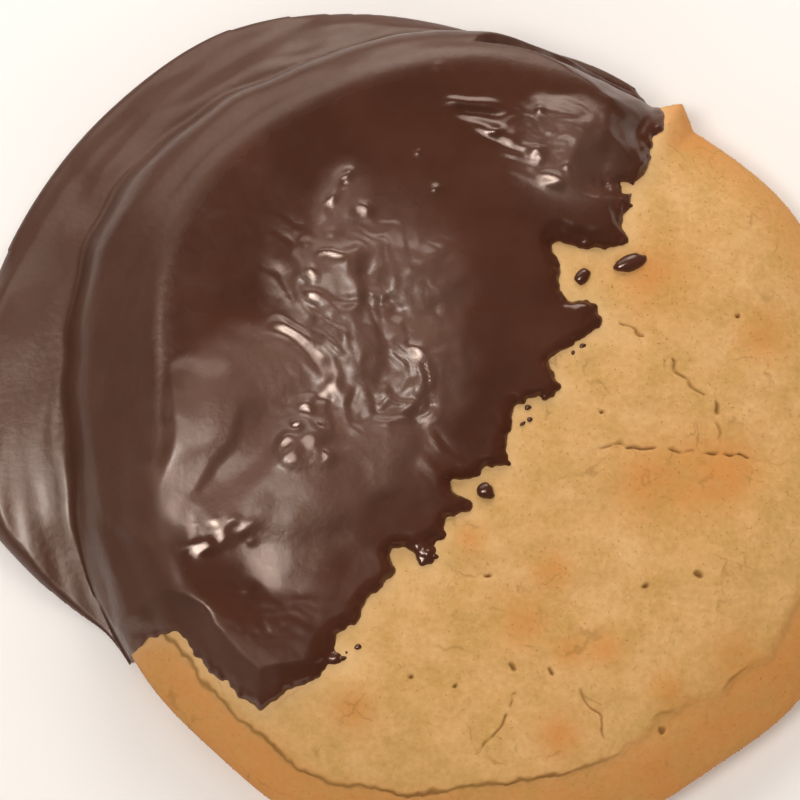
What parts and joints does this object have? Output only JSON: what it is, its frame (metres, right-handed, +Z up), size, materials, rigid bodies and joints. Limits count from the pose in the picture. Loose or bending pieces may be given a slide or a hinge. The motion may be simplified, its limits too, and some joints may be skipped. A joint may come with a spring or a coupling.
{
  "type": "peanut butter biscuit dipped in chocolate",
  "caption": "Round domed peanut butter biscuit, half dipped in dark chocolate that ran off into a thin puddle under and beside it.",
  "frame": {"origin": "on the resting plane, under the middle of the round biscuit, on the flat sole of the chocolate", "axes": "+Z up out of the dipped crown; +X to the right and +Y away from the viewer, so the dipped half lies towards -X +Y"},
  "size_m": [0.1016, 0.0957, 0.0162],
  "materials": {
    "baked_dough": "dry sandy baked dough, golden tan with browner blotches and rim",
    "dark_chocolate": "poured dark chocolate, glossy with soft broad highlights"
  },
  "bodies": {
    "root": {"biscuit": "baked_dough", "chocolate_coat": "dark_chocolate"}
  },
  "joints": []
}
